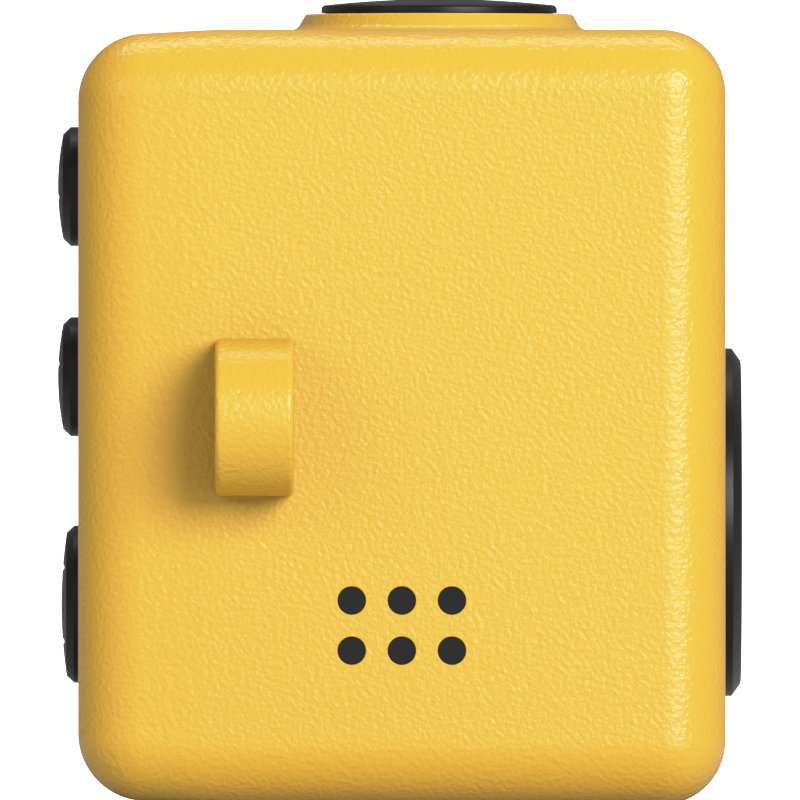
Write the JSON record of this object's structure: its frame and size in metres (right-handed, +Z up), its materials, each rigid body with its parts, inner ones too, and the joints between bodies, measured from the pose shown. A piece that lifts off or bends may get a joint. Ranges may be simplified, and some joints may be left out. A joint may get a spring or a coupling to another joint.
{
  "type": "fidget cube",
  "caption": "Boxy moulded fidget cube with click buttons, a round-nosed slide switch, a glide pad, a spinning dial, thumb rollers and a rolling ball.",
  "frame": {"origin": "centre of the object's bounding box in X and Y, at the level of the base it stands on", "axes": "+X to the right towards the dial, +Y to the back with the rollers, +Z up; the slide switch faces -Y"},
  "size_m": [0.0351, 0.0412, 0.0413],
  "materials": {
    "case_yellow": "satin moulded plastic with a fine leather grain",
    "control_black": "satin black moulded plastic",
    "pip_black": "plain matte black plastic",
    "inner_white": "natural white slippery plastic",
    "steel": "zinc-plated steel",
    "ball_steel": "polished bearing steel",
    "spring_steel": "drawn spring steel",
    "soft_rubber": "soft moulded rubber"
  },
  "bodies": {
    "housing": {"front_housing": "case_yellow", "rear_cover": "case_yellow", "rear_cover_screw_1": "steel", "rear_cover_screw_2": "steel", "rear_cover_screw_3": "steel", "rear_cover_screw_4": "steel", "pip_insert": "pip_black", "button_spring_upper": "spring_steel", "button_spring_middle": "spring_steel", "button_spring_lower": "spring_steel", "click_dome_upper": "spring_steel", "click_dome_middle": "spring_steel", "click_dome_lower": "spring_steel", "click_board": "inner_white", "click_board_screw_1": "steel", "click_board_screw_2": "steel", "slide_track": "inner_white", "slide_track_screw_1": "steel", "slide_track_screw_2": "steel", "slide_detent_spring": "spring_steel", "glide_housing": "inner_white", "glide_housing_screw_1": "steel", "glide_housing_screw_2": "steel", "glide_centring_ring": "soft_rubber", "dial_detent_leaf": "spring_steel", "dial_leaf_screw": "steel", "roller_axle": "steel", "roller_bracket": "inner_white", "roller_bracket_screw_1": "steel", "roller_bracket_screw_2": "steel", "ball_spring": "spring_steel", "ball_housing": "inner_white", "ball_housing_screw_1": "steel", "ball_housing_screw_2": "steel"},
    "button_upper": {"button_upper": "control_black"},
    "button_middle": {"button_middle": "control_black"},
    "button_lower": {"button_lower": "control_black"},
    "slide_switch": {"slide_tab": "case_yellow", "slide_carriage": "inner_white", "slide_screw": "steel"},
    "glide_carriage": {"glide_cross_slider": "inner_white"},
    "glide_pad": {"glide_cap": "control_black", "glide_retainer": "steel", "glide_screw": "steel"},
    "dial": {"dial": "control_black", "dial_detent_wheel": "inner_white", "dial_screw": "steel"},
    "roller_left": {"roller_left": "control_black"},
    "roller_centre": {"roller_centre": "control_black"},
    "roller_right": {"roller_right": "control_black"},
    "ball_plunger": {"ball_cup": "inner_white"},
    "ball": {"ball": "ball_steel"}
  },
  "joints": [
    {"name": "button_upper_press", "type": "slide", "parent": "housing", "child": "button_upper", "axis": [1, 0, 0], "range_m": [0, 0.0007], "deforming": ["button_spring_upper", "click_dome_upper"]},
    {"name": "button_middle_press", "type": "slide", "parent": "housing", "child": "button_middle", "axis": [1, 0, 0], "range_m": [0, 0.0007], "deforming": ["button_spring_middle", "click_dome_middle"]},
    {"name": "button_lower_press", "type": "slide", "parent": "housing", "child": "button_lower", "axis": [1, 0, 0], "range_m": [0, 0.0006], "deforming": ["button_spring_lower", "click_dome_lower"]},
    {"name": "switch_slide", "type": "slide", "parent": "housing", "child": "slide_switch", "axis": [0, 0, 1], "range_m": [-0.0014, 0.0014], "deforming": ["slide_detent_spring"]},
    {"name": "glide_x", "type": "slide", "parent": "housing", "child": "glide_carriage", "axis": [1, 0, 0], "range_m": [-0.0007, 0.0007], "deforming": ["glide_centring_ring"]},
    {"name": "glide_y", "type": "slide", "parent": "glide_carriage", "child": "glide_pad", "axis": [0, 1, 0], "range_m": [-0.0007, 0.0007], "deforming": ["glide_centring_ring"]},
    {"name": "dial_spin", "type": "hinge", "parent": "housing", "child": "dial", "pos_m": [0.0165, 0.00248, 0.01436], "axis": [1, 0, 0], "continuous": true, "deforming": ["dial_detent_leaf"]},
    {"name": "roller_left_spin", "type": "hinge", "parent": "housing", "child": "roller_left", "pos_m": [-0.0035, 0.01547, 0.027], "axis": [1, 0, 0], "continuous": true},
    {"name": "roller_centre_spin", "type": "hinge", "parent": "housing", "child": "roller_centre", "pos_m": [0, 0.01547, 0.027], "axis": [1, 0, 0], "continuous": true},
    {"name": "roller_right_spin", "type": "hinge", "parent": "housing", "child": "roller_right", "pos_m": [0.0035, 0.01547, 0.027], "axis": [1, 0, 0], "continuous": true},
    {"name": "ball_press", "type": "slide", "parent": "housing", "child": "ball_plunger", "axis": [0, -1, 0], "range_m": [0, 0.0006], "deforming": ["ball_spring"]},
    {"name": "ball_roll", "type": "hinge", "parent": "ball_plunger", "child": "ball", "pos_m": [0, 0.01738, 0.012], "axis": [1, 0, 0], "continuous": true}
  ]
}
